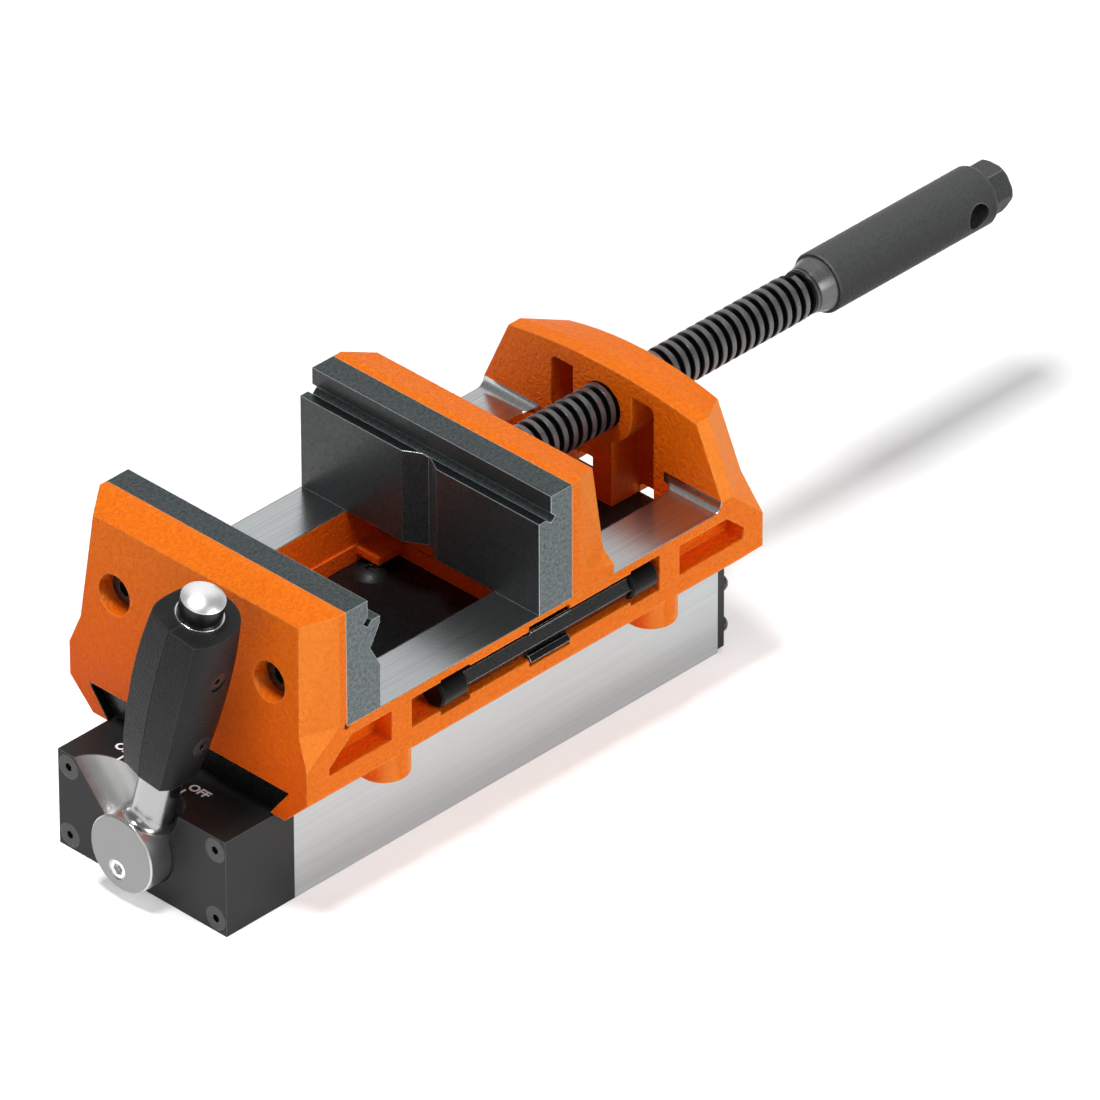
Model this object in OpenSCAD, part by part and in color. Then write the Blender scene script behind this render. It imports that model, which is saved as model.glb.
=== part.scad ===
// Magnetic drill vise: a cast vise with a sliding jaw, dovetailed onto a switchable magnet.
// Lengths are in mm and +Z is up. X runs from the switching lever towards the spindle handle.
// The part is drawn with x = 0 at the front of the end block, then moved so that the
// origin is the centre of the magnet's bottom face.

/* [Magnetic base] */
// Length of the end block and the poles together
base_len = 250; // [235:1:265]
// Width of the magnetic base
base_w = 84.7; // [82:0.1:86]
// Height of the magnetic base
base_h = 40.5; // [38:0.1:44]
// Length of the end block that carries the lever
block_len = 34; // [30:1:38]
// Width of the brass gap between the poles
pole_gap = 6; // [3:0.5:10]
// Radius of the magnet rotor
rotor_r = 14.6; // [12:0.1:15.5]
// Thickness of the rear cover
cover_t = 3.5; // [2:0.5:5]

/* [Switching lever] */
// Distance of the lever's axis behind the block's front face
lever_x = 1.8; // [1:0.1:2]
// Lean of the lever in its OFF position
lever_lean = 15; // [10:1:16]
// Radius of the lever's hub
hub_r = 15.45; // [14:0.05:16]
// Distance that the hub stands in front of the block
hub_out = 10.6; // [8:0.1:14]
// Radius of the lever's stem
stem_r = 8; // [6.5:0.1:8.2]
// Distance from the hub's centre to the foot of the grip
grip_foot = 39; // [38:1:45]
// Distance from the hub's centre to the top of the grip
grip_top = 114; // [108:1:125]
// Half the depth of the grip's top, along X
grip_a = 14.9; // [14:0.1:17]
// Half the width of the grip's top, across the lever
grip_b = 14.1; // [13.5:0.1:16]
// Radius of the locking button
button_r = 8.2; // [7:0.1:8.6]
// Travel of the locking button
button_travel = 4; // [2:0.5:5]

/* [Casting] */
// Width of the jaws and of the casting
jaw_w = 120; // [116:1:130]
// Thickness of the dovetail plate between the base and the casting
plate_t = 13.5; // [12:0.5:16]
// Height of the rail tops above the dovetail plate
rail_h = 23.5; // [22:0.5:27]
// Distance between the inner sides of the rails
channel_w = 74.4; // [72:0.2:78]
// Distance of the casting's front end behind the block's front face
cast_front = 23.5; // [23:0.5:28]
// Height of the jaws above the rails
jaw_h = 48.1; // [46:0.5:54]

/* [Jaws] */
// Gap between the jaw plates as drawn
opening = 79.75; // [20:0.25:105]
// Thickness of the jaw plates
jaw_plate_t = 16.75; // [16:0.25:20]
// Depth of the step along the top of each jaw plate
step_d = 6.1; // [4:0.1:8]
// Depth of the crossing V grooves for round work
vee_d = 4.9; // [3:0.1:6]

/* [Spindle] */
// Diameter over the thread
thread_d = 18.3; // [16:0.1:19]
// Diameter of the handle sleeve
sleeve_d = 24; // [23:0.1:28]
// Length of the sleeve without its hexagon
sleeve_len = 84.5; // [70:0.5:100]
// Width across the flats of the hexagon end
drive_af = 18; // [16:0.5:19]
// Diameter of the cross hole for the tommy bar
bar_hole_d = 10.4; // [9:0.1:11]
// Width across the flats of the tommy bar
bar_af = 8; // [7:0.1:8.5]

/* [Fits] */
// Radial play of turning shafts
run_gap = 0.05; // [0.02:0.01:0.1]
// Distance between other parts that move past each other
clear_gap = 0.3; // [0.2:0.05:0.5]

/* [Hidden] */
$fn = 48;
paint = [0.86, 0.33, 0.05];
black = [0.05, 0.05, 0.055];
dark = [0.1, 0.1, 0.11];
steel = [0.62, 0.62, 0.62];
phosphate = [0.2, 0.23, 0.24];

// Heights
rotor_z = base_h / 2;
slot_z = base_h + 1;                  // underside of the casting
floor_z = base_h + plate_t;           // top of the dovetail plate
rail_z = floor_z + rail_h;
jaw_z = rail_z + jaw_h;
screw_z = rail_z + 17.5;              // jaw plate screws
spindle_z = rail_z + 18.7;
side_z = floor_z - 1.1;               // top of the casting's lower chamfer
lean_z = rail_z - 10.6;               // from here up the fixed jaw's front leans back

// Stations along X
facet_x = cast_front + 16.6;
fixed_back = cast_front + 20.05;      // back of the fixed jaw plate
fixed_face = fixed_back + jaw_plate_t;
moving_face = fixed_face + opening;
moving_back = moving_face + jaw_plate_t;
jaw_rear = moving_back + 21.2;
channel_x0 = fixed_face + 1.7;
bridge_x = cast_front + 210;
bridge_mid = bridge_x + 6;
corner_r = 6;                         // corners of the channel at the bridge
cast_rear = bridge_x + 21.3;
web_x0 = cast_front + 134;
web_x1 = web_x0 + 24.5;
boss_end = jaw_rear + 10;
nose_x0 = moving_back + 6.5;
nose_x1 = jaw_rear + 2;
cone_x0 = cast_rear + 82.7;
sleeve_x0 = cone_x0 + 8.5;
sleeve_x1 = sleeve_x0 + sleeve_len;
drive_x1 = sleeve_x1 + 9.8;
bar_hole_x = sleeve_x1 - 10.8;

// Half widths
half_w = base_w / 2;
half_jaw = jaw_w / 2;
half_channel = channel_w / 2;

// Lever
hub_depth = 13.5;                     // how far the hub enters the block
recess_x = -1.6;                      // axis of the cutter that makes the lever's recess
recess_r = 12.1;
recess_on = 42;                       // lean of the recess's two ends
recess_off = 17.5;
journal_r = 7;
drive_r = 5;
tail_r = 6;
bush_r = 10;
tang_r = 6;
tang_top = grip_top - 16;
rod_r = 2.9;
button_foot = grip_top - 8;
button_edge = grip_top + 8.8;
grip_screw_z = [grip_foot + 21, grip_foot + 54];

// Screws: radii of shanks, also of the tapped holes that they fill
block_screw_r = 2.5;
block_screw_in = [5.3, 5.6];          // from the block's side and from its top or bottom
cover_screw_r = 2;
cover_head_r = 3.4;
cover_screw_y = half_w - cover_head_r;
cover_screw_z = [9.3, 27.1];
plate_screw_r = 4;
plate_screw_y = 27;
plate_screw_x = [cast_front + 51.5, cast_front + 118.5];
plate_screw_end = base_h - 9;
jaw_screw_r = 4;
jaw_screw_y = half_jaw - 21;
jaw_screw_seat = 4;                   // casting left between screw head and jaw plate
jaw_head_h = 8;
jaw_tap = 10;
bolt_boss_x = [cast_front + 47.7, cast_front + 183.5];
bolt_boss_r = 9.8;
bolt_boss_y = half_jaw - bolt_boss_r;
bolt_hole_r = 2.5;

// Tommy bar and its pocket in the casting's side
bar_y = half_jaw - 4;
bar_z = floor_z + 12.75;
bar_x0 = cast_front + 66.4;
bar_x1 = bar_x0 + 109.3;
cap_r = 5.8;
cap_len = 12.9;
pocket_back = half_jaw - 12;
clip_t = 1;
clip_x0 = cast_front + 111.6;
clip_x1 = clip_x0 + 20;

// Pins that hold the spindle's nose in the moving jaw
pin_r = 2;
pin_x = nose_x0 + 8.3;
groove_r = 4.9;
pin_y = groove_r + 0.2 + pin_r;
pin_z0 = spindle_z - 12;
pin_z1 = spindle_z + 12;

placed() pole(1);  // pole_left
placed() pole(-1);  // pole_right
placed() pole_spacers();
placed() end_block();
placed() end_block_screws();
placed() front_bush();
placed() rear_bush();
placed() rear_cover();
placed() rear_cover_screws();
placed() magnet_rotor();
placed() rotor_magnets();
placed() lever_arm();
placed() hub_screw();
placed() grip_half(1);  // grip_left
placed() grip_half(-1);  // grip_right
placed() grip_screws();
placed() button_collar();
placed() lock_spring();
placed() lock_button();
placed() push_rod();
placed() dovetail_plate();
placed() dovetail_screws();
placed() vise_body();
placed() fixed_jaw_plate();
placed() fixed_jaw_screws();
placed() bar_clip();
placed() clip_screw();
placed() moving_jaw();
placed() moving_jaw_plate();
placed() moving_jaw_screws();
placed() spindle_retainer_pins();
placed() spindle();
placed() spindle_sleeve();
placed() tommy_bar();
placed() bar_caps();

// Helpers

// Moves a piece from the block's front face to the part's origin.
module placed() {
    translate([-base_len / 2, 0, 0]) children();
}

// Pushes a section drawn in (y, z) along X.
module along_x(x0, x1) {
    translate([x0, 0, 0]) rotate([90, 0, 90]) linear_extrude(x1 - x0) children();
}

// Pushes a section drawn in (x, z) along Y.
module along_y(y0, y1) {
    translate([0, y1, 0]) rotate([90, 0, 0]) linear_extrude(y1 - y0) children();
}

// A box given by its corners.
module block(a, b) {
    translate(a) cube(b - a);
}

// A cylinder along X.
module rod_x(r, x0, x1, y = 0, z = 0) {
    translate([x0, y, z]) rotate([0, 90, 0]) cylinder(r = r, h = x1 - x0);
}

module both_sides() {
    children();
    mirror([0, 1, 0]) children();
}

// The convex body through a list of points and their mirror images in the XZ plane.
module body_through(points) {
    all_points = [for (p = points, s = [1, -1]) [p[0], s * p[1], p[2]]];
    hull() polyhedron(all_points, [for (i = [2:len(all_points) - 1]) [0, i - 1, i]]);
}

// Points along a shallow arc of the given half width, from z_end up to z_mid.
function arc_points(half, z_end, z_mid, n = 10) =
    let (rise = z_mid - z_end, r = (half * half + rise * rise) / (2 * rise))
    [for (i = [0:n]) let (y = half * (1 - 2 * i / n)) [y, z_mid - r + sqrt(r * r - y * y)]];

// Screws run along +Z and their heads bear on the plane z = 0.
module socket(key, top, depth) {
    translate([0, 0, top - 1]) cylinder(d = key / cos(30), h = depth + 1, $fn = 6);
}

module cap_screw(head_r, head_h, shank_r, len, key) {
    difference() {
        rotate_extrude() polygon([[0, -head_h], [head_r, -head_h], [head_r, 0],
                                  [shank_r, 0], [shank_r, len], [0, len]]);
        socket(key, -head_h, head_h * 0.55);
    }
}

module dome_screw(head_r, head_h, shank_r, len, key) {
    ball_r = (head_r * head_r + head_h * head_h) / (2 * head_h);
    difference() {
        union() {
            intersection() {
                translate([0, 0, -head_h]) cylinder(r = head_r, h = head_h);
                translate([0, 0, ball_r - head_h]) sphere(ball_r);
            }
            cylinder(r = shank_r, h = len);
        }
        socket(key, -head_h, head_h * 0.6);
    }
}

// A countersunk screw, or with play the hole that takes it.
module flat_screw(head_r, shank_r, len, play = 0) {
    bore = shank_r + play;
    rotate_extrude() polygon([[0, 0], [head_r, 0], [bore, head_r - bore], [bore, len], [0, len]]);
}

// Magnetic base

module block_screw_spots() {
    for (y = [1, -1] * (half_w - block_screw_in[0]),
         z = [block_screw_in[1], base_h - block_screw_in[1]])
        translate([0, y, z]) rotate([0, 90, 0]) children();
}

module cover_screw_spots() {
    for (y = [-1, 1] * cover_screw_y, z = cover_screw_z)
        translate([base_len + cover_t, y, z]) rotate([0, -90, 0]) children();
}

module plate_screw_spots() {
    for (x = plate_screw_x, y = [-1, 1] * plate_screw_y)
        translate([x, y, floor_z]) rotate([180, 0, 0]) children();
}

block_screw_len = block_len + 12;
cover_screw_len = cover_t + 10;
rotor_bore = rotor_r + clear_gap + 0.1;

// One soft iron pole: the side = 1 pole lies towards +Y.
module pole(side) {
    color(steel)
    difference() {
        scale([1, side, 1])
            block([block_len, pole_gap / 2, 0], [base_len, half_w, base_h]);
        rod_x(rotor_bore, block_len - 1, base_len + 1, 0, rotor_z);
        block_screw_spots() cylinder(r = block_screw_r, h = block_screw_len);
        cover_screw_spots() cylinder(r = cover_screw_r, h = cover_screw_len);
        plate_screw_spots() cylinder(r = plate_screw_r, h = floor_z - plate_screw_end);
    }
}

// Brass strips close the gap between the poles above and below the rotor.
module pole_spacers() {
    color("goldenrod")
    difference() {
        block([block_len, -pole_gap / 2, 0], [base_len, pole_gap / 2, base_h]);
        rod_x(rotor_bore, block_len - 1, base_len + 1, 0, rotor_z);
    }
}

// The cutter swept from the ON end to the OFF end of the lever's travel.
module lever_recess() {
    reach = base_h * 1.5;
    for (a = [-recess_on, recess_off])
        translate([recess_x, 0, rotor_z]) rotate([a, 0, 0]) cylinder(r = recess_r, h = reach);
    along_x(-20, recess_x + recess_r - 0.05)
        translate([0, rotor_z])
            polygon([[0, 0], reach * [sin(recess_on), cos(recess_on)],
                     reach * [-sin(recess_off), cos(recess_off)]]);
}

module end_block() {
    color(dark)
    difference() {
        block([0, -half_w, 0], [block_len, half_w, base_h]);
        lever_recess();
        rod_x(hub_r + 0.45, -1, hub_depth + 0.5, 0, rotor_z);
        rod_x(bush_r, hub_depth, block_len + 1, 0, rotor_z);
        block_screw_spots() flat_screw(4.75, block_screw_r, block_screw_len, 0.25);
    }
}

module end_block_screws() {
    color(black)
    block_screw_spots() difference() {
        flat_screw(4.75, block_screw_r, block_screw_len);
        socket(3, 0, 2);
    }
}

module front_bush() {
    color("goldenrod")
    difference() {
        rod_x(bush_r, hub_depth + 0.5, block_len, 0, rotor_z);
        rod_x(journal_r + run_gap, 0, block_len + 1, 0, rotor_z);
    }
}

module rear_bush() {
    color("goldenrod")
    difference() {
        rod_x(rotor_bore, base_len - 5, base_len, 0, rotor_z);
        rod_x(tail_r + run_gap, base_len - 6, base_len + 1, 0, rotor_z);
    }
}

module rear_cover() {
    color(dark)
    difference() {
        along_x(base_len, base_len + cover_t)
            polygon([[-half_w + 1, 0.6], [half_w - 1, 0.6], [half_w - 0.2, 1.6],
                     [half_w - 0.2, base_h], [-half_w + 0.2, base_h], [-half_w + 0.2, 1.6]]);
        cover_screw_spots() cylinder(r = cover_screw_r + 0.2, h = cover_screw_len);
    }
}

module rear_cover_screws() {
    color(black)
    cover_screw_spots() dome_screw(cover_head_r, 3.9, cover_screw_r, cover_screw_len, 2.5);
}

// Lever body: rotor, magnets, lever and grip

rotor_x0 = block_len + 6;
rotor_x1 = base_len - 6;
magnet_pitch = (rotor_x1 - rotor_x0) / 4;

module rotor_magnets() {
    color([0.75, 0.75, 0.78])
    intersection() {
        rod_x(rotor_r, rotor_x0, rotor_x1, 0, rotor_z);
        for (i = [0:3])
            block([rotor_x0 + magnet_pitch * i + 5, -4.5, 0],
                  [rotor_x0 + magnet_pitch * (i + 1) - 5, 4.5, base_h]);
    }
}

module magnet_rotor() {
    color(steel)
    difference() {
        union() {
            rod_x(drive_r, -4, hub_depth, 0, rotor_z);
            rod_x(journal_r, hub_depth, rotor_x0, 0, rotor_z);
            rod_x(rotor_r, rotor_x0, rotor_x1, 0, rotor_z);
            rod_x(tail_r, rotor_x1, base_len - clear_gap, 0, rotor_z);
        }
        for (i = [0:3])
            block([rotor_x0 + magnet_pitch * i + 5, -4.5, 0],
                  [rotor_x0 + magnet_pitch * (i + 1) - 5, 4.5, base_h]);
    }
}

// The lever's own frame: origin on the hub's axis, +Z along the stem.
module on_lever() {
    translate([lever_x, 0, rotor_z]) rotate([lever_lean, 0, 0]) children();
}

module hub_screw_spot() {
    on_lever() translate([-lever_x - hub_out + 3.3, 0, -7.5]) rotate([0, 90, 0]) children();
}

// Each grip screw runs towards the stem from the grip's -Y or +Y side.
module grip_screw_spots(side) {
    for (z = grip_screw_z)
        on_lever() translate([0, side * 12, z]) rotate([90 * side, 0, 0]) children();
}

module lever_arm() {
    flare_r = 4.5;
    flare_top = hub_r + 3;
    flare = [for (dz = [4:-0.8:0])
             [stem_r + flare_r - sqrt(flare_r * flare_r - dz * dz), flare_top - dz],
             [0, flare_top]];
    color([0.75, 0.75, 0.75])
    difference() {
        union() {
            rod_x(hub_r, -hub_out, hub_depth, 0, rotor_z);
            on_lever() {
                cylinder(r = stem_r, h = grip_foot + 4);
                cylinder(r = tang_r, h = tang_top);
                // the flare from the stem into the hub, kept inside the recess
                intersection() {
                    rotate_extrude() polygon(concat([[0, 9], [stem_r + flare_r - 0.5, 9]], flare));
                    translate([recess_x - lever_x, 0, 0])
                        cylinder(r = recess_r - 1.2, h = grip_foot);
                }
            }
        }
        rod_x(drive_r, -4, hub_depth + 1, 0, rotor_z);
        on_lever() translate([0, 0, 12]) cylinder(r = rod_r + clear_gap, h = tang_top);
        hub_screw_spot() translate([0, 0, -10]) cylinder(r = 3.7, h = 10);
        hub_screw_spot() cylinder(r = 2, h = 8);
        for (side = [-1, 1])
            grip_screw_spots(side) cylinder(r = 2, h = 12 - rod_r - 0.7);
    }
}

module hub_screw() {
    color(steel)
    hub_screw_spot() cap_screw(3.7, 3, 2, 8, 4);
}

// One half of the grip's section, on the +Y side of the seam.
function grip_outline(k) =
    let (a = grip_a * k, b = grip_b * k)
    [[-a, 0], [-0.9 * a, 0.78 * b], [-0.57 * a, 0.96 * b], [-0.05 * a, b], [0.42 * a, 0.93 * b],
     [0.75 * a, 0.7 * b], [0.93 * a, 0.4 * b], [a, 0]];

// Where the grip is sectioned, as a share of its length, and how wide it is there.
grip_stations = [[0, 0.82], [0.08, 0.9], [0.21, 0.98], [0.41, 1.05], [0.61, 1.085],
                 [0.81, 1.07], [1, 1]];

module grip_half(side) {
    length = grip_top - grip_foot;
    color(dark)
    difference() {
        on_lever() for (i = [0:len(grip_stations) - 2])
            hull() polyhedron(
                [for (s = [grip_stations[i], grip_stations[i + 1]], p = grip_outline(s[1]))
                    [p[0], side * p[1], grip_foot + s[0] * length]],
                [for (k = [2:15]) [0, k - 1, k]]);
        on_lever() {
            cylinder(r = stem_r, h = grip_foot + 4);
            cylinder(r = tang_r, h = tang_top + 1);
            translate([0, 0, tang_top]) cylinder(r = button_r + 0.75, h = 30);
        }
        grip_screw_spots(side) {
            cylinder(r = 2, h = 12);
            translate([0, 0, -12]) cylinder(r = 3.9, h = 12);
        }
    }
}

module grip_screws() {
    color(black)
    for (side = [-1, 1])
        grip_screw_spots(side) cap_screw(3.9, 2.5, 2, 12 - rod_r - 0.7, 2.5);
}

module button_collar() {
    color(steel)
    on_lever() difference() {
        translate([0, 0, tang_top]) cylinder(r = button_r + 0.75, h = grip_top + 1 - tang_top);
        cylinder(r = button_r + 0.1, h = grip_top + 2);
    }
}

// The return spring, drawn as a sleeve of its pressed length.
module lock_spring() {
    color(steel)
    on_lever() translate([0, 0, tang_top]) difference() {
        cylinder(r = button_r - 1, h = button_foot - button_travel - tang_top);
        translate([0, 0, -1]) cylinder(r = rod_r + 1, h = 20);
    }
}

// Lock button body: button and rod

module lock_button() {
    dome_h = 3;
    ball_r = (button_r * button_r + dome_h * dome_h) / (2 * dome_h);
    color([0.8, 0.8, 0.8])
    on_lever() {
        translate([0, 0, button_foot]) cylinder(r = button_r, h = button_edge - button_foot);
        intersection() {
            translate([0, 0, button_edge]) cylinder(r = button_r, h = dome_h);
            translate([0, 0, button_edge + dome_h - ball_r]) sphere(ball_r);
        }
    }
}

module push_rod() {
    color(steel)
    on_lever() translate([0, 0, 12.5 + button_travel])
        cylinder(r = rod_r, h = button_foot - 12.5 - button_travel);
}

// Dovetail between the base and the casting

// Half width of the dovetail at height z, less the play on its flank.
function flank(z, play) = 41 + (z - slot_z) * 0.76 - play;

module dovetail_section(z0, play) {
    corners = [[flank(z0, play), z0], [flank(floor_z - 1.5, play), floor_z - 1.5],
               [flank(floor_z - 2, play), floor_z - 0.4],
               [flank(floor_z - 3, play), floor_z]];
    polygon(concat(corners, [for (i = [3:-1:0]) [-corners[i][0], corners[i][1]]]));
}

module dovetail_plate() {
    color(black)
    difference() {
        along_x(cast_front + 3.5, base_len - 2) dovetail_section(base_h, clear_gap);
        plate_screw_spots() translate([0, 0, -1])
            cylinder(r = plate_screw_r + 0.4, h = plate_t + 2);
    }
}

module dovetail_screws() {
    color(black)
    plate_screw_spots() dome_screw(6.5, 2.9, plate_screw_r, floor_z - plate_screw_end, 4);
}

// Vise casting with the fixed jaw and the bridge

module jaw_screw_spots(x, turn) {
    for (y = [-1, 1] * jaw_screw_y)
        translate([x, y, screw_z]) rotate([0, turn, 0]) children();
}

// The hole for a jaw screw: a counterbore for its head and a clearance hole.
module jaw_screw_hole() {
    translate([0, 0, -30]) cylinder(r = 7.9, h = 30);
    cylinder(r = jaw_screw_r + 0.4, h = jaw_screw_seat + 1);
}

// Section across the casting, with a 45 degree chamfer along both lower edges.
module casting_section(top_z) {
    sole = half_jaw - (side_z - slot_z);
    polygon([[sole, slot_z], [half_jaw, side_z], [half_jaw, top_z],
             [-half_jaw, top_z], [-half_jaw, side_z], [-sole, slot_z]]);
}

module fixed_jaw_form() {
    low_z = rail_z + 1.8;
    body_through([[cast_front, half_jaw, floor_z], [cast_front, half_jaw, lean_z],
                  [cast_front + 1.12, half_jaw - 4.9, low_z], [facet_x, half_jaw, low_z],
                  [fixed_back, half_jaw, low_z], [fixed_back, half_jaw, floor_z]]);
    body_through([[cast_front + 1.12, half_jaw - 4.9, low_z], [facet_x, half_jaw, low_z],
                  [fixed_back, half_jaw, low_z],
                  [cast_front + 5, half_jaw - 8.4, jaw_z - 3.3],
                  [facet_x, half_jaw, jaw_z], [fixed_back, half_jaw, jaw_z]]);
}

module bridge_form() {
    front = arc_points(half_jaw - 12.7, rail_z + 31.7, rail_z + 36);
    rear = arc_points(half_jaw - 22.7, rail_z + 28.2, rail_z + 32.7);
    along_x(bridge_x, bridge_mid)
        polygon(concat([[half_jaw, floor_z + 10], [half_jaw, rail_z + 3.9]], front,
                       [[-half_jaw, rail_z + 3.9], [-half_jaw, floor_z + 10]]));
    body_through(concat([[bridge_mid, half_jaw, rail_z + 3.9],
                         [cast_rear, half_jaw - 11, rail_z + 2.8]],
                        [for (p = front) [bridge_mid, p[0], p[1]]],
                        [for (p = rear) [cast_rear, p[0], p[1]]]));
    body_through([[bridge_mid, half_jaw, rail_z + 3.9], [bridge_mid, half_jaw, floor_z + 5],
                  [cast_rear, half_jaw - 11, rail_z + 2.8],
                  [cast_rear, half_jaw, rail_z - 10.3], [cast_rear, half_jaw, floor_z + 5]]);
    // fillets where the machined rails run into the bridge
    both_sides() along_y(half_channel - corner_r, half_jaw) difference() {
        translate([bridge_x - 4, rail_z - 0.5]) square([4.5, 4.5]);
        translate([bridge_x - 4, rail_z + 4]) circle(4);
    }
}

// The windows of the bridge: a pocket at each side of the spindle boss, and an arch below.
module bridge_pocket() {
    outer = 25.9;
    along_x(bridge_x - 0.5, bridge_x + 14) difference() {
        union() {
            translate([4.8, floor_z - 2]) square([outer - 4.8, rail_z + 25.5 - floor_z + 2]);
            translate([4.8, floor_z - 2]) square([outer - 7.8, rail_z + 28.5 - floor_z + 2]);
            translate([outer - 3, rail_z + 25.5]) circle(3);
        }
        translate([0, spindle_z]) {
            circle(14.7);
            translate([-14.7, 0]) square([29.4, 40]);
        }
    }
    along_x(bridge_x + 13, cast_rear + 1) {
        translate([5, floor_z - 2]) square([21, 3.5]);
        translate([8, floor_z - 2]) square([15, 6.5]);
        for (y = [8, 23]) translate([y, floor_z + 1.5]) circle(3);
    }
}

// The opening between the rails, with the cross web left under the moving jaw.
module channel() {
    inner = half_channel - 0.8;
    ledge_z = floor_z + 7;
    web_z = floor_z + 6.5;
    difference() {
        union() {
            block([channel_x0, -half_channel, ledge_z], [bridge_x, half_channel, rail_z + 4.5]);
            block([channel_x0, -inner, web_z], [bridge_x, inner, ledge_z + 0.5]);
            block([channel_x0, -inner, floor_z - 1], [web_x0 - 13.5, inner, web_z + 0.1]);
            block([channel_x0, -25, floor_z - 1], [web_x0, 25, web_z + 0.1]);
            block([channel_x0, -inner, floor_z - 1], [web_x0, inner, floor_z + 3.3]);
            block([web_x1, -inner, floor_z - 1], [bridge_x, inner, web_z + 0.1]);
        }
        // rounded corners where the rails meet the bridge
        both_sides() difference() {
            block([bridge_x - corner_r, half_channel - corner_r, floor_z - 2],
                  [bridge_x + 1, half_channel + 1, rail_z + 6]);
            translate([bridge_x - corner_r, half_channel - corner_r, floor_z - 3])
                cylinder(r = corner_r, h = rail_h + 10);
        }
    }
}

// Lightening pockets in a side wall, cut 9 mm deep.
module end_pockets() {
    low = floor_z + 6.5;
    high = floor_z + 19.2;
    along_y(half_jaw - 9, half_jaw + 1) {
        polygon([[cast_front + 11, low], [cast_front + 42.3, low], [cast_front + 42.3, high],
                 [cast_front + 22.3, high], [cast_front + 11, low + 3]]);
        polygon([[bridge_x - 21.8, low], [bridge_x + 10.8, low], [bridge_x + 11.8, low + 4.6],
                 [bridge_x + 2.7, high], [bridge_x - 21.8, high]]);
    }
}

module bar_pocket() {
    along_y(-half_jaw - 1, -pocket_back) {
        translate([bar_x0 - 14.2, floor_z + 7]) square([125.8, 12.4]);
        for (x = [bar_x0 + 0.3, bar_x0 + 96.7])
            translate([x, bar_z - 7.5]) square([14.9, 15]);
        translate([clip_x0 - 0.3, bar_z - 8.7]) square([20.7, 17.3]);
    }
}

module plain_pocket() {
    along_y(pocket_back, half_jaw + 1)
        translate([bar_x0 - 14.2, floor_z + 7]) square([125.8, 12.4]);
}

module bolt_bosses() {
    for (x = bolt_boss_x, y = [-1, 1] * bolt_boss_y)
        translate([x, y, slot_z]) children();
}

module vise_body() {
    color(paint)
    difference() {
        union() {
            along_x(cast_front, cast_rear) casting_section(lean_z);
            along_x(facet_x, bridge_mid) casting_section(rail_z);
            fixed_jaw_form();
            bridge_form();
            bolt_bosses() cylinder(r = bolt_boss_r, h = floor_z + 5 - slot_z);
        }
        along_x(cast_front - 1, cast_rear + 1) dovetail_section(slot_z, 0);
        along_x(cast_front - 1, cast_rear + 1)
            translate([-41, base_h]) square([82, slot_z - base_h + 0.01]);
        channel();
        both_sides() bridge_pocket();
        both_sides() end_pockets();
        bar_pocket();
        plain_pocket();
        bolt_bosses() translate([0, 0, -1]) cylinder(r = bolt_hole_r, h = 7.5);
        rod_x(thread_d / 2 + run_gap, bridge_x - 1, cast_rear + 1, 0, spindle_z);
        jaw_screw_spots(fixed_back - jaw_screw_seat, 90) jaw_screw_hole();
        clip_screw_spot() cylinder(r = 1.5, h = 7);
        // relief groove behind the foot of the jaw plate
        along_y(-half_jaw - 1, half_jaw + 1) translate([fixed_back, rail_z]) circle(1.4);
    }
}

module fixed_jaw_plate() {
    step_z = jaw_z - 9.2;
    vee_z = rail_z + 27.3;
    vee_h = vee_d * 1.8;
    face = fixed_face;
    color(phosphate)
    difference() {
        along_y(-half_jaw, half_jaw)
            polygon([[fixed_back, rail_z], [face, rail_z], [face, vee_z - vee_h],
                     [face - vee_d, vee_z], [face, vee_z + vee_h], [face, step_z],
                     [face - step_d + 2.2, step_z], [face - step_d, step_z - 2.2],
                     [face - step_d - 2.2, step_z], [face - step_d, step_z + 2.2],
                     [face - step_d, jaw_z],
                     [fixed_back, jaw_z]]);
        jaw_screw_spots(fixed_back, 90) translate([0, 0, -1])
            cylinder(r = jaw_screw_r, h = jaw_tap + 1);
    }
}

module fixed_jaw_screws() {
    color(black)
    jaw_screw_spots(fixed_back - jaw_screw_seat, 90)
        cap_screw(6.5, jaw_head_h, jaw_screw_r, jaw_screw_seat + jaw_tap, 6);
}

module clip_screw_spot() {
    translate([(clip_x0 + clip_x1) / 2, -pocket_back - clip_t, bar_z])
        rotate([-90, 0, 0]) children();
}

// A spring steel channel round the tommy bar, with flared lips.
module bar_clip() {
    half = bar_af / 2 + clear_gap;
    color(black)
    difference() {
        translate([clip_x0, 0, 0]) rotate([90, 0, 90]) linear_extrude(clip_x1 - clip_x0)
            polygon([for (p = [[-pocket_back, half + clip_t], [-half_jaw + 1, half + clip_t],
                               [-half_jaw, half + clip_t + 1.6], [-half_jaw - 0.8, half + 2.1],
                               [-half_jaw + 0.6, half], [-pocket_back - clip_t, half],
                               [-pocket_back - clip_t, -half], [-half_jaw + 0.6, -half],
                               [-half_jaw - 0.8, -half - 2.1],
                               [-half_jaw, -half - clip_t - 1.6],
                               [-half_jaw + 1, -half - clip_t], [-pocket_back, -half - clip_t]])
                     [p[0], p[1] + bar_z]]);
        clip_screw_spot() translate([0, 0, -1]) cylinder(r = 1.7, h = 3);
    }
}

module clip_screw() {
    color(black)
    clip_screw_spot() dome_screw(2.8, 1.2, 1.5, clip_t + 6, 1.5);
}

// Moving jaw body

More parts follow.
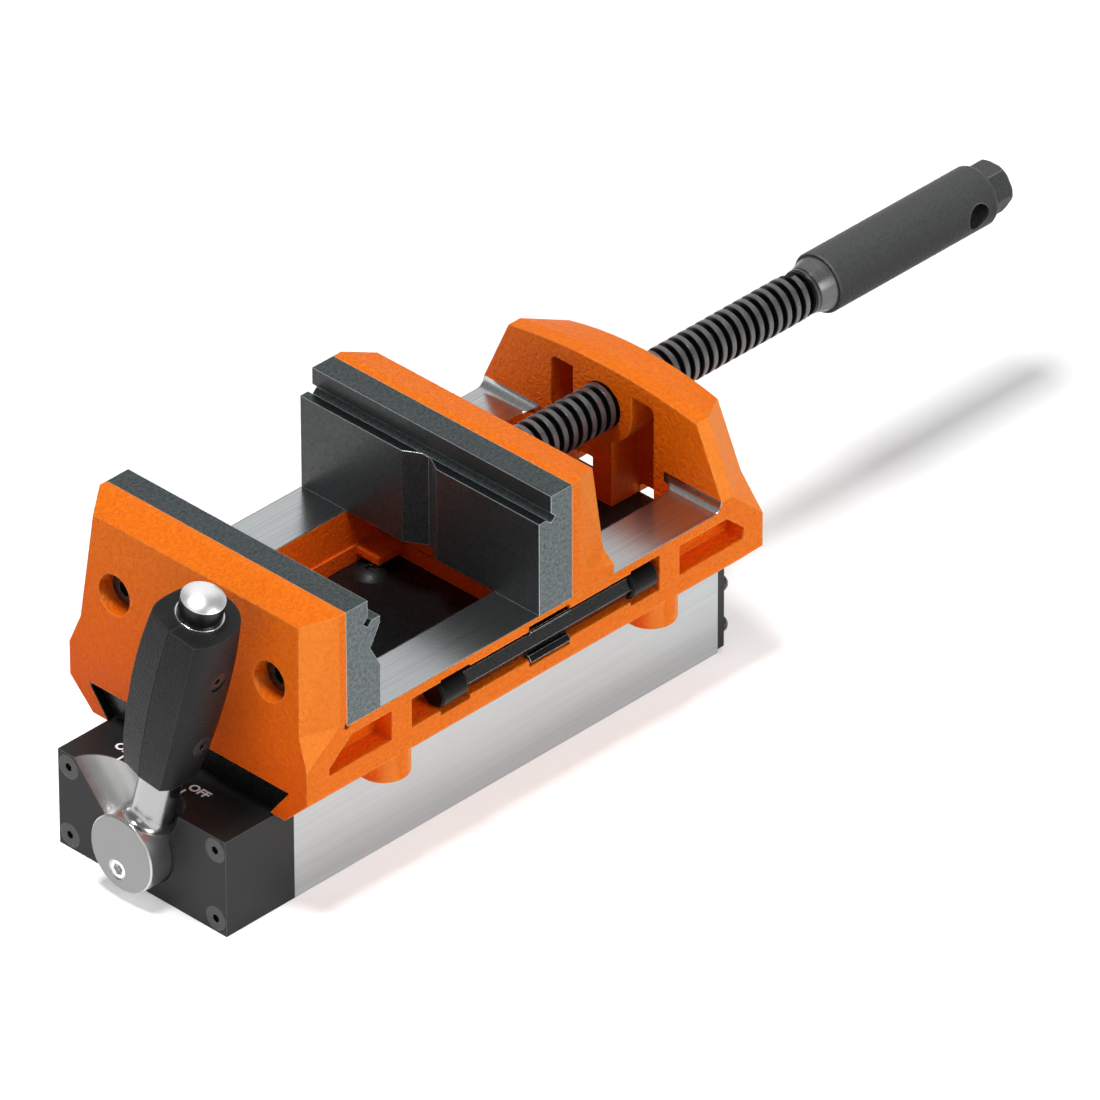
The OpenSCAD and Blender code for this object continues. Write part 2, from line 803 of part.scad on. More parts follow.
module moving_jaw() {
    slide_z = rail_z + 0.1;
    low_z = rail_z + 9;
    foot_z = rail_z + 4.4;
    guide = half_channel - clear_gap;
    color(paint)
    difference() {
        union() {
            block([moving_back, -half_jaw, slide_z], [jaw_rear, half_jaw, foot_z]);
            body_through([[moving_back, half_jaw, low_z], [moving_back + 4, half_jaw, low_z],
                          [jaw_rear - 0.8, half_jaw - 4.5, low_z],
                          [moving_back, half_jaw, foot_z], [jaw_rear, half_jaw, foot_z]]);
            body_through([[moving_back, half_jaw, low_z], [moving_back + 4, half_jaw, low_z],
                          [jaw_rear - 0.8, half_jaw - 4.5, low_z],
                          [moving_back, half_jaw, jaw_z], [moving_back + 4, half_jaw, jaw_z],
                          [moving_back + 16.4, half_jaw - 6, jaw_z - 3.4]]);
            block([moving_back, -guide, rail_z - 15.5], [jaw_rear, guide, rail_z + 1]);
            rod_x(12, jaw_rear - 5, boss_end - 1, 0, spindle_z);
            rod_x(11, boss_end - 1.5, boss_end, 0, spindle_z);
            rod_x(15, jaw_rear - 5, jaw_rear + 5, 0, spindle_z);
        }
        rod_x(journal_r + run_gap, nose_x0 - 1, nose_x1 + 1, 0, spindle_z);
        rod_x(thread_d / 2 + clear_gap, nose_x1, boss_end + 1, 0, spindle_z);
        jaw_screw_spots(moving_back + jaw_screw_seat, -90) jaw_screw_hole();
        for (y = [-1, 1] * pin_y)
            translate([pin_x, y, rail_z - 17]) cylinder(r = pin_r, h = pin_z1 - rail_z + 17);
    }
}

module moving_jaw_plate() {
    step_z = jaw_z - 9.1;
    face = moving_face;
    vee_half = vee_d * 1.78;
    color(phosphate)
    difference() {
        along_y(-half_jaw, half_jaw)
            polygon([[moving_back, rail_z + 0.1], [face, rail_z + 0.1], [face, step_z],
                     [face + step_d - 2.3, step_z], [face + step_d, step_z - 2.1],
                     [face + step_d + 2.2, step_z], [face + step_d, step_z + 2.2],
                     [face + step_d, jaw_z], [moving_back, jaw_z]]);
        translate([0, 0, rail_z - 1]) linear_extrude(step_z - rail_z + 2)
            polygon([[face - 1, -vee_half - 1.78], [face + vee_d, 0],
                     [face - 1, vee_half + 1.78]]);
        jaw_screw_spots(moving_back, -90) translate([0, 0, -1])
            cylinder(r = jaw_screw_r, h = jaw_tap + 1);
    }
}

module moving_jaw_screws() {
    color(black)
    jaw_screw_spots(moving_back + jaw_screw_seat, -90)
        cap_screw(6.5, jaw_head_h, jaw_screw_r, jaw_screw_seat + jaw_tap, 6);
}

module spindle_retainer_pins() {
    color(steel)
    for (y = [-1, 1] * pin_y)
        translate([pin_x, y, pin_z0]) cylinder(r = pin_r, h = pin_z1 - pin_z0);
}

// Spindle body

// Turns a profile of [radius, x] points about the spindle's axis.
module turned(profile) {
    translate([0, 0, spindle_z]) rotate([0, 90, 0]) rotate_extrude() polygon(profile);
}

tenon_end = sleeve_x0 + 50;

module spindle() {
    groove = pin_r + clear_gap;
    color(black)
    turned([[0, nose_x0], [journal_r, nose_x0], [journal_r, pin_x - groove],
            [groove_r, pin_x - groove], [groove_r, pin_x + groove],
            [journal_r, pin_x + groove], [journal_r, nose_x1 + 0.2],
            [thread_d / 2, nose_x1 + 0.2], [thread_d / 2, cone_x0], [sleeve_d / 2 - 0.3, sleeve_x0],
            [journal_r, sleeve_x0], [journal_r, tenon_end], [0, tenon_end]]);
}

module spindle_sleeve() {
    r = sleeve_d / 2;
    corner_r = drive_af / 2 / cos(30);
    color(dark)
    difference() {
        union() {
            turned([[journal_r, sleeve_x0], [r - 0.3, sleeve_x0], [r, sleeve_x0 + 0.5],
                    [r, sleeve_x1 - 1.5], [r - 0.5, sleeve_x1 - 0.4], [r - 1.5, sleeve_x1],
                    [0, sleeve_x1], [0, tenon_end], [journal_r, tenon_end]]);
            intersection() {
                translate([sleeve_x1 - 1, 0, spindle_z]) rotate([0, 90, 0])
                    rotate([0, 0, 30]) cylinder(r = corner_r, h = drive_x1 - sleeve_x1 + 1, $fn = 6);
                turned([[0, sleeve_x1 - 2], [corner_r + 0.1, sleeve_x1 - 2],
                        [corner_r + 0.1, drive_x1 - 1.2], [corner_r - 1.1, drive_x1],
                        [0, drive_x1]]);
            }
        }
        translate([bar_hole_x, r + 1, spindle_z]) rotate([90, 0, 0])
            cylinder(d = bar_hole_d, h = sleeve_d + 2);
    }
}

// Tommy bar body

module hex_bar(x0, x1) {
    translate([x0, -bar_y, bar_z]) rotate([0, 90, 0]) rotate([0, 0, 30])
        cylinder(d = bar_af / cos(30), h = x1 - x0, $fn = 6);
}

module tommy_bar() {
    color(black)
    hex_bar(bar_x0 + 2, bar_x1 - 2);
}

module bar_caps() {
    color(black)
    difference() {
        for (x = [bar_x0, bar_x1 - cap_len])
            translate([x, -bar_y, bar_z]) rotate([0, 90, 0]) rotate_extrude()
                polygon([[0, 0], [cap_r - 0.8, 0], [cap_r, 0.8], [cap_r, cap_len - 0.8],
                         [cap_r - 0.8, cap_len], [0, cap_len]]);
        hex_bar(bar_x0 + 2, bar_x1 - 2);
    }
}
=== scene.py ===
import bpy, bmesh, math
from mathutils import Matrix, Vector


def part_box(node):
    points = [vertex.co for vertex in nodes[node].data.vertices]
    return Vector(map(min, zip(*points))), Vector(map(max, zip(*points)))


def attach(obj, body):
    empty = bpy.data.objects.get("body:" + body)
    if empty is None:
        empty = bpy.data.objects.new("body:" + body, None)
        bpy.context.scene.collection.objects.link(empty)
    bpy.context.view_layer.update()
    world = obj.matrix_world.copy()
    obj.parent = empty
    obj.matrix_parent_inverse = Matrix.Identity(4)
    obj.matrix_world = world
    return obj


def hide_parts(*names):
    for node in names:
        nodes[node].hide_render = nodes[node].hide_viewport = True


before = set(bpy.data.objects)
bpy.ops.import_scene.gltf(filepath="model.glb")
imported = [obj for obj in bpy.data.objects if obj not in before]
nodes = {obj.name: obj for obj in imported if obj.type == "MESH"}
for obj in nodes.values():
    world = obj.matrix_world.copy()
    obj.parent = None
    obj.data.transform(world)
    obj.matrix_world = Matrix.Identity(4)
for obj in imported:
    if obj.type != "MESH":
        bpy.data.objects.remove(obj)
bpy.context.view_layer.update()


# Camera
# A long lens far away, as in a catalogue photograph: 45 degrees off the long axis and
# 34 degrees down, so that the lever end, the near side and the tops all show.
def camera_matrix(azimuth, elevation, roll, place):
    """The camera's world matrix from its heading, its downward tilt and its roll, in degrees."""
    a, e, r = (math.radians(v) for v in (azimuth, elevation, roll))
    ahead = Vector((math.cos(e) * -math.sin(a), math.cos(e) * math.cos(a), -math.sin(e)))
    right = ahead.cross(Vector((0, 0, 1))).normalized()
    up = right.cross(ahead)
    right, up = (right * math.cos(r) - up * math.sin(r), up * math.cos(r) + right * math.sin(r))
    turn = Matrix((right, up, -ahead)).transposed()
    return Matrix.Translation(place) @ turn.to_4x4()


camera_data = bpy.data.cameras.new("camera")
camera_data.sensor_width = 36
camera_data.lens = 510.2
camera_data.clip_end = 100
camera = bpy.data.objects.new("camera", camera_data)
bpy.context.scene.collection.objects.link(camera)
camera.matrix_world = camera_matrix(-45.4517, 33.7665, 0.1702, (-3.25506, -3.28435, 3.17629))
bpy.context.scene.camera = camera
bpy.context.scene.view_settings.view_transform = "Standard"


# Studio
# A white floor under one softbox overhead, with a large one on the tommy bar's side and
# a weak one towards the lever. The air is pale at the horizon, grey overhead and white
# behind the vise, which is what the rails and the button mirror.
def linear(code):
    """A '#rrggbb' colour as linear RGBA."""
    parts = [int(code[i:i + 2], 16) / 255 for i in (1, 3, 5)]
    return [p / 12.92 if p <= 0.04045 else ((p + 0.055) / 1.055) ** 2.4 for p in parts] + [1]


def add(tree, kind, inputs=None, **settings):
    """Adds a node, sets its settings, and fills or links its inputs.

    Numbers stand for inputs without a clear name: 1 to 4 of a Map Range are its low and high
    values before and after, and 0, 6 and 7 of a Mix are its share and its two colours."""
    node = tree.nodes.new(kind)
    for name, value in settings.items():
        setattr(node, name, value)
    for name, value in (inputs or {}).items():
        if isinstance(value, bpy.types.NodeSocket):
            tree.links.new(value, node.inputs[name])
        else:
            node.inputs[name].default_value = value
    return node


world = bpy.data.worlds.new("studio_air")
bpy.context.scene.world = world
world.use_nodes = True
world.node_tree.nodes.clear()
direction = add(world.node_tree, "ShaderNodeTexCoord")
height = add(world.node_tree, "ShaderNodeSeparateXYZ", {0: direction.outputs["Generated"]})
glow = add(world.node_tree, "ShaderNodeMapRange",
           {0: height.outputs["Z"], 1: 0.0, 2: 0.45, 3: 0.7, 4: 0.34}, interpolation_type="SMOOTHSTEP")
to_panel = (0.6, 0.45, 0.66)
behind = add(world.node_tree, "ShaderNodeVectorMath",
             {0: direction.outputs["Generated"], 1: to_panel}, operation="DOT_PRODUCT")
panel = add(world.node_tree, "ShaderNodeMapRange",
            {0: behind.outputs["Value"], 1: 0.7, 2: 0.95, 3: 0, 4: 0.75}, interpolation_type="SMOOTHSTEP")
glow = add(world.node_tree, "ShaderNodeMath", {0: glow.outputs[0], 1: panel.outputs[0]})
air = add(world.node_tree, "ShaderNodeBackground", {"Strength": glow.outputs[0]})
add(world.node_tree, "ShaderNodeOutputWorld", {0: air.outputs[0]})

aim = Vector((0.05, 0, 0.05))
for name, place, size, power in (("softbox_over", (-0.45, -0.04, 2.15), 0.5, 35),
                                 ("softbox_side", (0.3, -2.3, 1.1), 1.2, 25),
                                 ("softbox_front", (-2.2, -0.5, 1.0), 1.2, 4.5)):
    lamp_data = bpy.data.lights.new(name, "AREA")
    lamp_data.size = size
    lamp_data.energy = power
    lamp = bpy.data.objects.new(name, lamp_data)
    bpy.context.scene.collection.objects.link(lamp)
    lamp.location = place
    lamp.rotation_euler = (aim - Vector(place)).to_track_quat("-Z", "Y").to_euler()

# The paper glows a little close to the vise, a painted light that fills the vise's shadow there, and again
# far away, where the softboxes are weak.
half = 9
sweep_mesh = bpy.data.meshes.new("sweep")
sweep_mesh.from_pydata([(-half, -half, 0), (half, -half, 0), (half, half, 0), (-half, half, 0)], [],
                       [(0, 1, 2, 3)])
sweep = bpy.data.objects.new("sweep", sweep_mesh)
bpy.context.scene.collection.objects.link(sweep)
sweep_paper = bpy.data.materials.new("white_paper")
sweep_paper.use_nodes = True
tree = sweep_paper.node_tree
paper = tree.nodes["Principled BSDF"]
paper.inputs["Base Color"].default_value = linear("#fcfcfc")
paper.inputs["Roughness"].default_value = 0.9
paper.inputs["Specular IOR Level"].default_value = 0.0
paper.inputs["Emission Color"].default_value = linear("#ffffff")
ray = add(tree, "ShaderNodeLightPath")
seen = add(tree, "ShaderNodeMath", {0: ray.outputs["Is Camera Ray"], 1: ray.outputs["Is Glossy Ray"]})
seen = add(tree, "ShaderNodeMath", {0: seen.outputs[0], 1: ray.outputs["Is Transmission Ray"]},
           use_clamp=True)
spot = add(tree, "ShaderNodeTexCoord")
away = add(tree, "ShaderNodeVectorMath", {0: spot.outputs["Object"]}, operation="LENGTH")
lift = add(tree, "ShaderNodeMapRange", {0: away.outputs["Value"], 1: 0.4, 2: 2.5, 3: 0.0, 4: 0.6})
near = add(tree, "ShaderNodeMapRange", {0: away.outputs["Value"], 1: 0.13, 2: 0.24, 3: 0.28, 4: 0.02},
           interpolation_type="SMOOTHSTEP")
lift = add(tree, "ShaderNodeMath", {0: lift.outputs[0], 1: near.outputs[0]})
lift = add(tree, "ShaderNodeMath", {0: lift.outputs[0], 1: seen.outputs[0]}, operation="MULTIPLY")
tree.links.new(lift.outputs[0], paper.inputs["Emission Strength"])
sweep_mesh.materials.append(sweep_paper)


# Magnet poles
# Two ground bars of soft iron with brass strips between them. The grinding runs along
# the bars, so they show fine long lines and a broad soft sheen.
def finish(name, colour, metallic, roughness):
    """A new material: its node tree, its main shader and the object's own coordinates."""
    material = bpy.data.materials.new(name)
    material.use_nodes = True
    tree = material.node_tree
    shader = tree.nodes["Principled BSDF"]
    shader.inputs["Base Color"].default_value = linear(colour)
    shader.inputs["Metallic"].default_value = metallic
    shader.inputs["Roughness"].default_value = roughness
    place = add(tree, "ShaderNodeTexCoord").outputs["Object"]
    return material, tree, shader, place


def dress(material, *names):
    """Gives CAD nodes this material."""
    for name in names:
        mesh = nodes[name].data
        mesh.materials.clear()
        mesh.materials.append(material)


def brushed(name, dark, pale, roughness, along=(6, 900, 900), metallic=1.0):
    """Ground or turned metal: streaks 1 mm apart and less, along X unless the scales say
    otherwise, in colour, roughness and relief. Less than 1 metallic makes the sheen softer."""
    material, tree, shader, place = finish(name, pale, metallic, roughness)
    stretch = add(tree, "ShaderNodeMapping", {"Vector": place, "Scale": along})
    streaks = add(tree, "ShaderNodeTexNoise",
                  {"Vector": stretch.outputs[0], "Scale": 1.0, "Detail": 3.0, "Roughness": 0.6})
    tone = add(tree, "ShaderNodeMix", {0: streaks.outputs["Fac"], 6: linear(dark), 7: linear(pale)},
               data_type="RGBA")
    tree.links.new(tone.outputs[2], shader.inputs["Base Color"])
    sheen = add(tree, "ShaderNodeMapRange", {0: streaks.outputs["Fac"], 1: 0.3, 2: 0.7,
                                             3: roughness - 0.06, 4: roughness + 0.08})
    tree.links.new(sheen.outputs[0], shader.inputs["Roughness"])
    rounded = add(tree, "ShaderNodeBevel", {"Radius": 0.0003}, samples=4)
    relief = add(tree, "ShaderNodeBump", {"Height": streaks.outputs["Fac"], "Strength": 0.12,
                                          "Distance": 0.0002, "Normal": rounded.outputs[0]})
    tree.links.new(relief.outputs[0], shader.inputs["Normal"])
    return material


ground_iron = brushed("ground_iron", "#a3a7a8", "#c3c8c9", 0.38, metallic=0.7)
dress(ground_iron, "pole_left", "pole_right")
turned_brass = brushed("machined_brass", "#a07f3c", "#c9a659", 0.3)
dress(turned_brass, "pole_spacers", "front_bush", "rear_bush")


# End block and rear cover
# Both are steel with a satin black coating. The lever's recess was milled after coating,
# so its walls are bare bright metal.
def edges(tree, radius, samples, start, end, most=1):
    """The normal with edges rounded off, the face's own normal, and a mask that grows to its
    most where the two differ, which is along the edges."""
    rounded = add(tree, "ShaderNodeBevel", {"Radius": radius}, samples=samples).outputs[0]
    own = add(tree, "ShaderNodeNewGeometry").outputs["Normal"]
    same = add(tree, "ShaderNodeVectorMath", {0: rounded, 1: own}, operation="DOT_PRODUCT")
    mask = add(tree, "ShaderNodeMapRange", {0: same.outputs["Value"], 1: start, 2: end, 3: 0, 4: most})
    return rounded, own, mask.outputs[0]


def coated(name, colour, roughness, metallic, edge, scuffed_and_lit_edge_colour, grain=1200, gloss_level=0.3, relief_depth=0.08):
    """A black coating or black plastic: a fine grain in its gloss, and paler edges, partly wear and partly
    a painted highlight.
    """
    material, tree, shader, place = finish(name, colour, metallic, roughness)
    if metallic == 0:
        shader.inputs["Specular IOR Level"].default_value = gloss_level
    speckle = add(tree, "ShaderNodeTexNoise",
                  {"Vector": place, "Scale": grain, "Detail": 3.0, "Roughness": 0.6})
    gloss = add(tree, "ShaderNodeMapRange", {0: speckle.outputs["Fac"], 1: 0.3, 2: 0.7,
                                             3: roughness - 0.07, 4: roughness + 0.09})
    tree.links.new(gloss.outputs[0], shader.inputs["Roughness"])
    rounded, own, scuffed_and_lit_edges = edges(tree, edge, 4, 0.99, 0.8)
    shade = add(tree, "ShaderNodeMapRange", {0: speckle.outputs["Fac"], 1: 0.3, 2: 0.7, 3: 0.8, 4: 1.2})
    grainy = add(tree, "ShaderNodeMix", {0: 1.0, 6: linear(colour), 7: shade.outputs[0]},
                 data_type="RGBA", blend_type="MULTIPLY")
    # Paler edges: partly wear, partly painted highlight lines.
    tone = add(tree, "ShaderNodeMix", {0: scuffed_and_lit_edges, 6: grainy.outputs[2], 7: linear(scuffed_and_lit_edge_colour)},
               data_type="RGBA")
    tree.links.new(tone.outputs[2], shader.inputs["Base Color"])
    relief = add(tree, "ShaderNodeBump", {"Height": speckle.outputs["Fac"], "Strength": relief_depth,
                                          "Distance": 0.0004, "Normal": rounded})
    tree.links.new(relief.outputs[0], shader.inputs["Normal"])
    return material, tree, shader, place, tone


def within(tree, *limits):
    """1 where every socket lies between its low and its high value, and 0 elsewhere."""
    result = None
    for socket, low, high in limits:
        above = add(tree, "ShaderNodeMath", {0: socket, 1: low}, operation="GREATER_THAN")
        below = add(tree, "ShaderNodeMath", {0: socket, 1: high}, operation="LESS_THAN")
        both = add(tree, "ShaderNodeMath", {0: above.outputs[0], 1: below.outputs[0]},
                   operation="MULTIPLY").outputs[0]
        result = both if result is None else add(
            tree, "ShaderNodeMath", {0: result, 1: both}, operation="MULTIPLY").outputs[0]
    return result


block_low, block_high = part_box("end_block")
block_black, tree, shader, place, tone = coated(
    "satin_black_coating", "#222323", 0.42, 0.0, 0.0004, "#7c7d7d", gloss_level=0.2)
where = add(tree, "ShaderNodeSeparateXYZ", {0: place})
# What lies deeper than a thin skin on the block's outside is the milled recess.
skin = 0.0002
milled = within(tree, (where.outputs["X"], block_low.x + skin, block_high.x - skin),
                (where.outputs["Y"], block_low.y + skin, block_high.y - skin),
                (where.outputs["Z"], skin, block_high.z - skin))
bare = add(tree, "ShaderNodeMix", {0: milled, 6: tone.outputs[2], 7: linear("#b9b9b8")},
           data_type="RGBA")
tree.links.new(bare.outputs[2], shader.inputs["Base Color"])
tree.links.new(milled, shader.inputs["Metallic"])
dress(block_black, "end_block")
cover_black = coated("black_painted_cover", "#181919", 0.45, 0.0, 0.0003, "#3a3b3b")[0]
dress(cover_black, "rear_cover", "dovetail_screws")


# Dovetail plate, screws and tommy bar
# Blackened steel, slightly oily: the dovetail plate, all the screws and the tommy bar. The
# bar's spring clip is blued, and the caps on its ends are moulded black plastic.
black_oxide = coated("black_oxide_steel", "#141515", 0.28, 0.0, 0.0003, "#66686a", gloss_level=0.6)[0]
dress(black_oxide, "end_block_screws", "rear_cover_screws", "grip_screws", "fixed_jaw_screws",
      "moving_jaw_screws", "clip_screw")
plate_black = coated("blackened_plate", "#0f1010", 0.3, 0.0, 0.0008, "#2a2b2b", gloss_level=0.45)[0]
dress(plate_black, "dovetail_plate")
# On the bar and its clip the bright edge colours are painted highlight lines.
bar_black = coated("drawn_black_bar", "#0d0e0e", 0.2, 0.0, 0.0004, "#b4b6b8", gloss_level=0.7)[0]
dress(bar_black, "tommy_bar")
spring_black = coated("blued_spring_steel", "#17181a", 0.22, 0.6, 0.0004, "#f4f5f6")[0]
dress(spring_black, "bar_clip")
cap_black = coated("moulded_cap_plastic", "#070707", 0.34, 0.0, 0.0006, "#3a3b3b", 600, 0.12)[0]
dress(cap_black, "bar_caps")


# Magnet rotor
# A turned steel rotor with nickel plated magnets, and the other bright turned parts that
# lie hidden inside: the button's rod, its spring and the pins at the spindle's nose.
turned_steel = brushed("turned_steel", "#9a9b9c", "#c2c3c4", 0.3, (900, 40, 40))
dress(turned_steel, "magnet_rotor", "push_rod", "lock_spring", "spindle_retainer_pins")
nickel = brushed("nickel_plate", "#b9b8b2", "#d6d5cf", 0.2, (60, 60, 60))
dress(nickel, "rotor_magnets")


# Switching lever
# A hub with a stem, turned and welded from steel and chromed. The hub's front face is
# satin, the stem is polished, and the weld between them is ground to a smooth hollow.
def chromed(name, colour, roughness, edge):
    """Chrome: a bright metal whose gloss varies a little, with softly broken edges."""
    material, tree, shader, place = finish(name, colour, 1.0, roughness)
    cloud = add(tree, "ShaderNodeTexNoise", {"Vector": place, "Scale": 160.0, "Detail": 2.0})
    gloss = add(tree, "ShaderNodeMapRange", {0: cloud.outputs["Fac"], 1: 0.3, 2: 0.7,
                                             3: roughness - 0.02, 4: roughness + 0.03})
    tree.links.new(gloss.outputs[0], shader.inputs["Roughness"])
    rounded = add(tree, "ShaderNodeBevel", {"Radius": edge}, samples=4)
    tree.links.new(rounded.outputs[0], shader.inputs["Normal"])
    return material, tree, shader, place


def turned(profile, steps):
    """Points and faces of a closed piece turned about Z, from (radius, height) points."""
    points = [(r * math.cos(2 * math.pi * k / steps), r * math.sin(2 * math.pi * k / steps), z)
              for r, z in profile for k in range(steps)]
    faces = [(i * steps + k, i * steps + (k + 1) % steps, (i + 1) * steps + (k + 1) % steps,
              (i + 1) * steps + k) for i in range(len(profile) - 1) for k in range(steps)]
    faces += [tuple(range(steps - 1, -1, -1)), tuple(range(len(points) - steps, len(points)))]
    return points, faces


def joined(name, shells):
    """A new object of closed shells, each (points, faces, matrix)."""
    points, faces = [], []
    for shell_points, shell_faces, matrix in shells:
        faces += [tuple(i + len(points) for i in face) for face in shell_faces]
        points += [tuple(matrix @ Vector(p)) for p in shell_points]
    mesh = bpy.data.meshes.new(name)
    mesh.from_pydata(points, [], faces)
    obj = bpy.data.objects.new(name, mesh)
    bpy.context.scene.collection.objects.link(obj)
    return obj


def smooth(obj, sharp):
    """Shades smooth, apart from edges that turn by more than sharp degrees."""
    work = bmesh.new()
    work.from_mesh(obj.data)
    bmesh.ops.recalc_face_normals(work, faces=work.faces)
    for face in work.faces:
        face.smooth = True
    for edge in work.edges:
        edge.smooth = edge.calc_face_angle(0) < math.radians(sharp)
    work.to_mesh(obj.data)
    work.free()


def piece(name, shells, body, material, sharp):
    """Makes one piece of closed shells and lets it ride on a body."""
    obj = joined(name, shells)
    obj.data.materials.append(material)
    smooth(obj, sharp)
    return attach(obj, body)


def drill(obj, shells, sharp):
    """Cuts closed shells out of a piece."""
    cutter = joined("cutter", shells)
    smooth(cutter, sharp)
    cut = obj.modifiers.new("cut", "BOOLEAN")
    cut.operation = "DIFFERENCE"
    cut.solver = "EXACT"
    cut.use_self = True
    cut.object = cutter
    result = bpy.data.meshes.new_from_object(obj.evaluated_get(bpy.context.evaluated_depsgraph_get()))
    obj.modifiers.clear()
    obj.data = result
    bpy.data.objects.remove(cutter)
    smooth(obj, sharp)


rotor_low, rotor_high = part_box("magnet_rotor")
rotor_z = (rotor_low.z + rotor_high.z) / 2
arm_low, arm_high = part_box("lever_arm")
hub_r = rotor_z - arm_low.z
hub_front, hub_back = arm_low.x, arm_high.x
stem_r, flare_r, lean = 0.008, 0.004, math.radians(15)
stem_in_block = 0.0018
stem_x = block_low.x + stem_in_block
grip_foot, grip_top, tang_r, tang_top = 0.039, 0.114, 0.0058, 0.098
lever = Matrix.Translation((stem_x, 0, rotor_z)) @ Matrix.Rotation(lean, 4, "X")
along_x = Matrix.Rotation(math.pi / 2, 4, "Y")

hub_edge = 0.0006
hub_shell = turned([(hub_r - hub_edge, hub_front), (hub_r, hub_front + hub_edge), (hub_r, hub_back)], 128)
stem_foot, stem_top = 0.008, grip_foot + 0.004
stem_shell = turned([(stem_r, stem_foot), (stem_r, stem_top), (tang_r, stem_top), (tang_r, tang_top)], 96)
# The weld's hollow is swept round the stem: an arc, closed inside the stem by two core points.
flare_points, arc_steps, around, core_depth, core_r = [], 10, 96, 0.006, 0.9 * stem_r
for k in range(around):
    turn = 2 * math.pi * k / around
    cos, sin = math.cos(turn), math.sin(turn)
    # the hollow runs out towards the block, where the stem stands close to the recess's wall
    ball_r = flare_r * min(1, 1.02 - cos) if cos > 0 else flare_r
    centre = Vector(((stem_r + ball_r) * cos, (stem_r + ball_r) * sin, 0))
    centre.z = math.sqrt((hub_r + ball_r) ** 2 - centre.y ** 2)
    to_stem = Vector((-cos, -sin, 0))
    to_hub = Vector((0, -centre.y, -centre.z)).normalized()
    for i in range(arc_steps + 1):
        flare_points.append(centre + ball_r * to_stem.slerp(to_hub, i / arc_steps))
    for core_z in (centre.z - core_depth, centre.z):
        flare_points.append(Vector((core_r * cos, core_r * sin, core_z)))
rows = arc_steps + 3
flare_faces = [(k * rows + i, k * rows + (i + 1) % rows, (k + 1) % around * rows + (i + 1) % rows,
                (k + 1) % around * rows + i) for k in range(around) for i in range(rows)]
chrome, tree, shader, place = chromed("satin_chrome", "#c6c7c8", 0.3, 0.0004)
where = add(tree, "ShaderNodeSeparateXYZ", {0: place})
front = add(tree, "ShaderNodeMath", {0: where.outputs["X"], 1: hub_front + 0.0001}, operation="LESS_THAN")
tone = add(tree, "ShaderNodeMix", {0: front.outputs[0], 6: linear("#c6c7c8"), 7: linear("#8c8c8c")},
           data_type="RGBA")
tree.links.new(tone.outputs[2], shader.inputs["Base Color"])
hub = piece("lever_hub", [(*hub_shell, Matrix.Translation((0, 0, rotor_z)) @ along_x)],
            "lever", chrome, 25)
# The hub is drilled for its eccentric screw, with a chamfered rim, and for the button's rod.
pit_r, rim_r, pit_depth, screw_down, bore_r = 0.0037, 0.0043, 0.0033, 0.0075, 0.003
screw_pit = turned([(pit_r, 0.0), (pit_r, 0.0027), (rim_r, pit_depth), (rim_r, 0.0043)], 48)
screw_seat = Matrix.Translation((hub_front - stem_x + pit_depth, 0, -screw_down))
rod_bore = turned([(bore_r, 0.0121), (bore_r, 0.02)], 32)
drill(hub, [(*screw_pit, lever @ screw_seat @ Matrix.Rotation(-math.pi / 2, 4, "Y")),
            (*rod_bore, lever)], 25)
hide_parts("lever_arm")
stem = piece("lever_stem", [(*stem_shell, lever), (flare_points, flare_faces, lever)],
             "lever", chromed("polished_chrome", "#a9aaab", 0.2, 0.0004)[0], 25)
dress(chromed("bright_chrome", "#e4e4e5", 0.14, 0.0006)[0], "hub_screw", "button_collar")
# The button's dome mirrors the white above it. The wall below its edge is painted dark, a painted
# reflection of the black grip.
button_chrome, tree, shader, place = chromed("polished_button", "#ffffff", 0.3, 0.0005)
rise = add(tree, "ShaderNodeVectorMath", {0: place, 1: (0, -math.sin(lean), math.cos(lean))},
           operation="DOT_PRODUCT")
wall_height = 0.0086
button_edge = rotor_z * math.cos(lean) + grip_top + wall_height
wall = add(tree, "ShaderNodeMath", {0: rise.outputs["Value"], 1: button_edge}, operation="LESS_THAN")
shade = add(tree, "ShaderNodeMix", {0: wall.outputs[0], 6: linear("#ffffff"), 7: linear("#3c3d3e")},
            data_type="RGBA")
tree.links.new(shade.outputs[2], shader.inputs["Base Color"])
dress(button_chrome, "lock_button")


# Grip
# Two shells of black glass-filled nylon, moulded and screwed together round the lever's
# tang. The mould gave them a fine grain, sharp edges at the front and a rounded back.
grip_plastic = coated("moulded_nylon", "#121213", 0.42, 0.0, 0.0006, "#48484a", 1200, 0.18, 0.9)[0]
grip_a, grip_b, per_knot_up, per_knot_round = 0.0149, 0.0141, 6, 4
grip_waist = [(0.0, 0.82), (0.08, 0.9), (0.21, 0.98), (0.41, 1.05), (0.61, 1.085), (0.81, 1.07), (1.0, 1.0)]
grip_side = [(-0.9, 0.78), (-0.57, 0.96), (-0.05, 1.0), (0.42, 0.93), (0.75, 0.7), (0.93, 0.4),
             (1.0, 0.0), (0.93, -0.4)]
seam_depth, seam_half = 0.0003, 0.00025


def curve(knots, at):
    """The smooth curve through knots, at a place counted in knots."""
    i = min(int(at), len(knots) - 2)
    t = at - i
    four = [knots[max(0, min(len(knots) - 1, i + n))] for n in (-1, 0, 1, 2)]
    return [(2 * q + (r - p) * t + (2 * p - 5 * q + 4 * r - s) * t ** 2
             + (3 * q - p - 3 * r + s) * t ** 3) / 2 for p, q, r, s in zip(*four)]


def grip_ring(width):
    """Half of the grip's outline, from the front seam round to the back one."""
    a, b = grip_a * width, grip_b * width
    round_side = [curve(grip_side, step / per_knot_round)
                  for step in range(per_knot_round * (len(grip_side) - 2))]
    return ([(-a + seam_depth, 0), (-a, seam_half)] + [(a * u, b * v) for u, v in round_side]
            + [(a, seam_half), (a - seam_depth, 0)])


